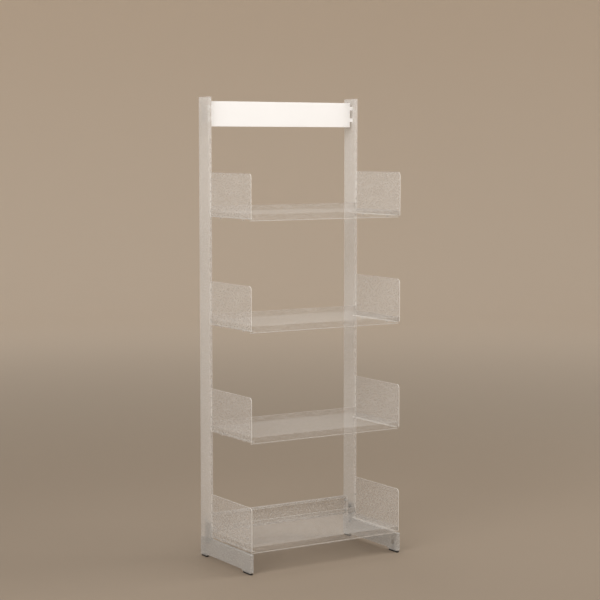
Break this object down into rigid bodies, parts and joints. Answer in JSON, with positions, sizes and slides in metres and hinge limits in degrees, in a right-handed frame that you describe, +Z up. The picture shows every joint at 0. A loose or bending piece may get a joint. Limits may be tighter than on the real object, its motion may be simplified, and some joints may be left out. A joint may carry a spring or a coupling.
{
  "type": "magazine rack",
  "caption": "Tall narrow free-standing rack: slotted posts on long feet carry adjustable tray shelves on hook-in side brackets, under a plain white sign panel.",
  "frame": {"origin": "on the floor at the middle of the unit's footprint", "axes": "+Z up, the open front of the shelves faces -Y, the posts stand at +Y, the unit's width runs along X"},
  "size_m": [0.69, 0.385, 1.8],
  "materials": {
    "post_finish": "frosted translucent off-white tube, satin",
    "cap_finish": "frosted translucent off-white moulding, satin",
    "foot_finish": "frosted translucent off-white channel, satin",
    "heel_finish": "frosted translucent off-white moulding, satin",
    "bracket_finish": "frosted translucent pale grey sheet, satin",
    "shelf_finish": "frosted translucent pale grey sheet, satin",
    "tie_finish": "frosted translucent pale grey sheet, satin",
    "header_white": "opaque satin white coating, no lettering",
    "spigot_steel": "light grey coated steel",
    "leveller_zinc": "bright zinc plated",
    "screw_zinc": "bright zinc plated",
    "glide_nylon": "black moulded nylon, matt"
  },
  "bodies": {
    "frame": {"post_left": "post_finish", "post_cap_left": "cap_finish", "foot_left": "foot_finish", "post_spigot_left": "spigot_steel", "spigot_screw_left_1": "screw_zinc", "spigot_screw_left_2": "screw_zinc", "spigot_screw_left_3": "screw_zinc", "heel_block_front_left": "heel_finish", "heel_block_rear_left": "heel_finish", "post_right": "post_finish", "post_cap_right": "cap_finish", "foot_right": "foot_finish", "post_spigot_right": "spigot_steel", "spigot_screw_right_1": "screw_zinc", "spigot_screw_right_2": "screw_zinc", "spigot_screw_right_3": "screw_zinc", "heel_block_front_right": "heel_finish", "heel_block_rear_right": "heel_finish", "lower_tie": "tie_finish", "lower_tie_screw_left_1": "screw_zinc", "lower_tie_screw_left_2": "screw_zinc", "lower_tie_screw_right_1": "screw_zinc", "lower_tie_screw_right_2": "screw_zinc", "upper_tie": "tie_finish", "upper_tie_screw_left_1": "screw_zinc", "upper_tie_screw_left_2": "screw_zinc", "upper_tie_screw_right_1": "screw_zinc", "upper_tie_screw_right_2": "screw_zinc"},
    "glide_front_left": {"leveller_stud_front_left": "leveller_zinc", "glide_shoe_front_left": "glide_nylon"},
    "glide_rear_left": {"leveller_stud_rear_left": "leveller_zinc", "glide_shoe_rear_left": "glide_nylon"},
    "glide_front_right": {"leveller_stud_front_right": "leveller_zinc", "glide_shoe_front_right": "glide_nylon"},
    "glide_rear_right": {"leveller_stud_rear_right": "leveller_zinc", "glide_shoe_rear_right": "glide_nylon"},
    "base_shelf": {"shelf_base": "shelf_finish", "bracket_base_left": "bracket_finish", "bracket_base_right": "bracket_finish"},
    "lower_shelf": {"shelf_lower": "shelf_finish", "bracket_lower_left": "bracket_finish", "bracket_lower_right": "bracket_finish"},
    "middle_shelf": {"shelf_middle": "shelf_finish", "bracket_middle_left": "bracket_finish", "bracket_middle_right": "bracket_finish"},
    "upper_shelf": {"shelf_upper": "shelf_finish", "bracket_upper_left": "bracket_finish", "bracket_upper_right": "bracket_finish"},
    "header": {"header_panel": "header_white"}
  },
  "joints": [
    {"name": "level_front_left", "type": "slide", "parent": "frame", "child": "glide_front_left", "axis": [0, 0, 1], "range_m": [-0.01, 0]},
    {"name": "level_front_right", "type": "slide", "parent": "frame", "child": "glide_front_right", "axis": [0, 0, 1], "range_m": [-0.01, 0]},
    {"name": "level_rear_left", "type": "slide", "parent": "frame", "child": "glide_rear_left", "axis": [0, 0, 1], "range_m": [-0.01, 0]},
    {"name": "level_rear_right", "type": "slide", "parent": "frame", "child": "glide_rear_right", "axis": [0, 0, 1], "range_m": [-0.01, 0]},
    {"name": "lift_base_shelf", "type": "slide", "parent": "frame", "child": "base_shelf", "axis": [0, 0, 1], "range_m": [0, 0.008]},
    {"name": "lift_lower_shelf", "type": "slide", "parent": "frame", "child": "lower_shelf", "axis": [0, 0, 1], "range_m": [0, 0.008]},
    {"name": "lift_middle_shelf", "type": "slide", "parent": "frame", "child": "middle_shelf", "axis": [0, 0, 1], "range_m": [0, 0.008]},
    {"name": "lift_upper_shelf", "type": "slide", "parent": "frame", "child": "upper_shelf", "axis": [0, 0, 1], "range_m": [0, 0.008]},
    {"name": "lift_header", "type": "slide", "parent": "frame", "child": "header", "axis": [0, 0, 1], "range_m": [0, 0.008]}
  ]
}
